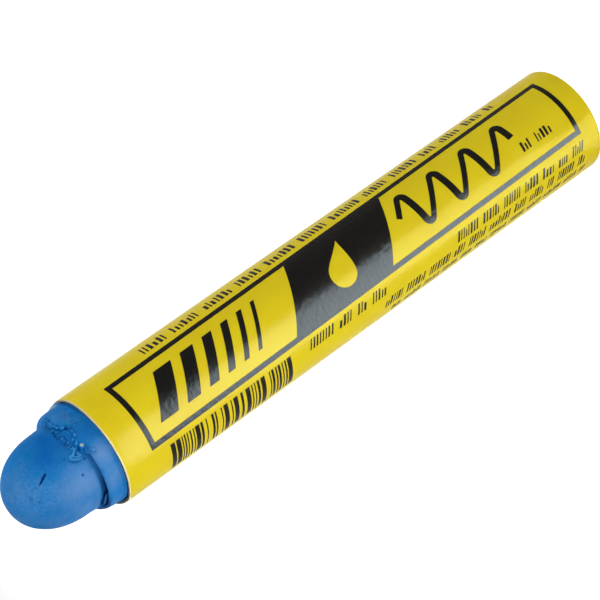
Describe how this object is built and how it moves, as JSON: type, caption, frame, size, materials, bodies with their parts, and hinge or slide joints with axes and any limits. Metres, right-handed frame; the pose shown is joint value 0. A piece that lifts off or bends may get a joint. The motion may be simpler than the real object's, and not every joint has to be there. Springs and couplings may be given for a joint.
{
  "type": "solid paint marking stick",
  "caption": "Cast stick of solid marking paint with a rounded nose, held in a card tube that a glossy printed label wraps.",
  "frame": {"origin": "middle of the sleeve's flat butt end, the face that the stick stands on", "axes": "+Z along the stick from the butt end to the nose, -Y out through the front of the print, +X to the right when looking along +Y"},
  "size_m": [0.019, 0.019, 0.1207],
  "materials": {
    "paint": "waxy solid paint, satin with matt torn places",
    "card": "grey wound card, matt cut ends",
    "label": "yellow paper under a clear gloss film",
    "ink": "black print under the same gloss film"
  },
  "bodies": {
    "root": {"paint_core": "paint", "card_tube": "card", "wrapped_label": "label", "black_print": "ink"}
  },
  "joints": []
}
